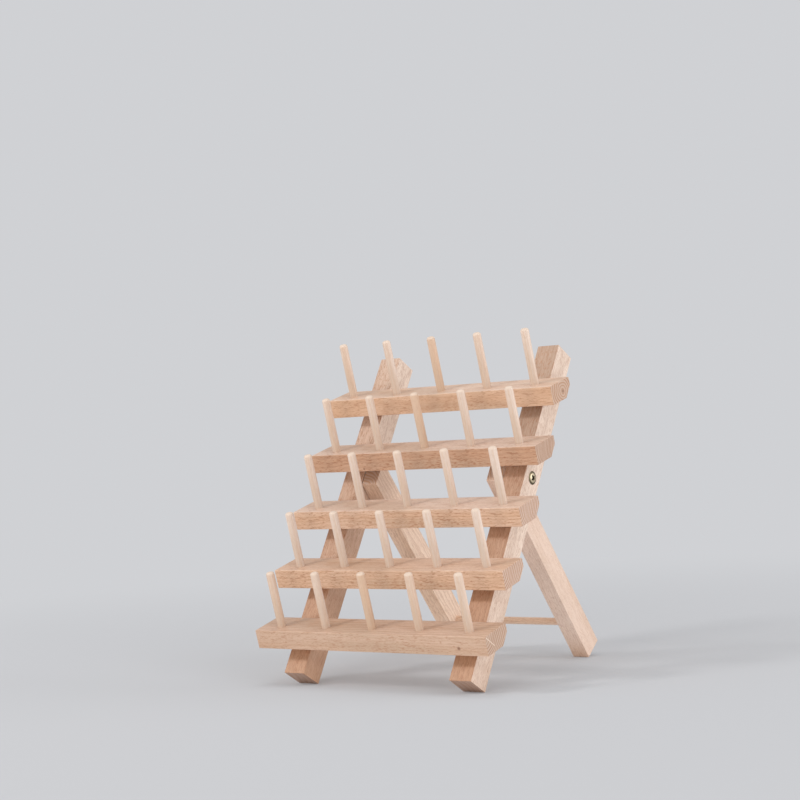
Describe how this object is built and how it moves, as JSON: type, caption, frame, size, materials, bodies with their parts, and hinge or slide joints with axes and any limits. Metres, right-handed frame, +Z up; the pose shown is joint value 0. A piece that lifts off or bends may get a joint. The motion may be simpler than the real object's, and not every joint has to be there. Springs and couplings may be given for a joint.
{
  "type": "bobbin display rack",
  "caption": "Stepped wooden rack of pegs for sewing thread spools, on two sloping rails, with a pair of rear legs that fold flat behind the rails.",
  "frame": {"origin": "on the ground, under the middle of the open rack", "axes": "+Z up, +X to the rack's right as seen from the front, front towards -Y"},
  "size_m": [0.145, 0.155, 0.18],
  "materials": {
    "beech": "bare sanded beech, fine dark flecks along the grain",
    "peg_wood": "bare pale turned dowel, matt",
    "dowel_wood": "bare turned dowel, matt",
    "screw_brass": "yellow passivated, dulled",
    "pin_steel": "bright wire"
  },
  "bodies": {
    "front_frame": {"shelf_1": "beech", "peg_1_1": "peg_wood", "peg_1_2": "peg_wood", "peg_1_3": "peg_wood", "peg_1_4": "peg_wood", "peg_1_5": "peg_wood", "shelf_2": "beech", "peg_2_1": "peg_wood", "peg_2_2": "peg_wood", "peg_2_3": "peg_wood", "peg_2_4": "peg_wood", "peg_2_5": "peg_wood", "shelf_3": "beech", "peg_3_1": "peg_wood", "peg_3_2": "peg_wood", "peg_3_3": "peg_wood", "peg_3_4": "peg_wood", "peg_3_5": "peg_wood", "shelf_4": "beech", "peg_4_1": "peg_wood", "peg_4_2": "peg_wood", "peg_4_3": "peg_wood", "peg_4_4": "peg_wood", "peg_4_5": "peg_wood", "shelf_5": "beech", "peg_5_1": "peg_wood", "peg_5_2": "peg_wood", "peg_5_3": "peg_wood", "peg_5_4": "peg_wood", "peg_5_5": "peg_wood", "front_rail_left": "beech", "front_rail_right": "beech", "shelf_pins": "pin_steel"},
    "rear_legs": {"rear_leg_left": "beech", "rear_leg_right": "beech", "leg_crossbar": "dowel_wood", "pivot_screw_left": "screw_brass", "pivot_screw_right": "screw_brass"}
  },
  "joints": [
    {"name": "rear_legs_fold", "type": "hinge", "parent": "front_frame", "child": "rear_legs", "pos_m": [0, -0.00239, 0.1023], "axis": [-1, 0, 0], "range_deg": [0, 68.6]}
  ]
}
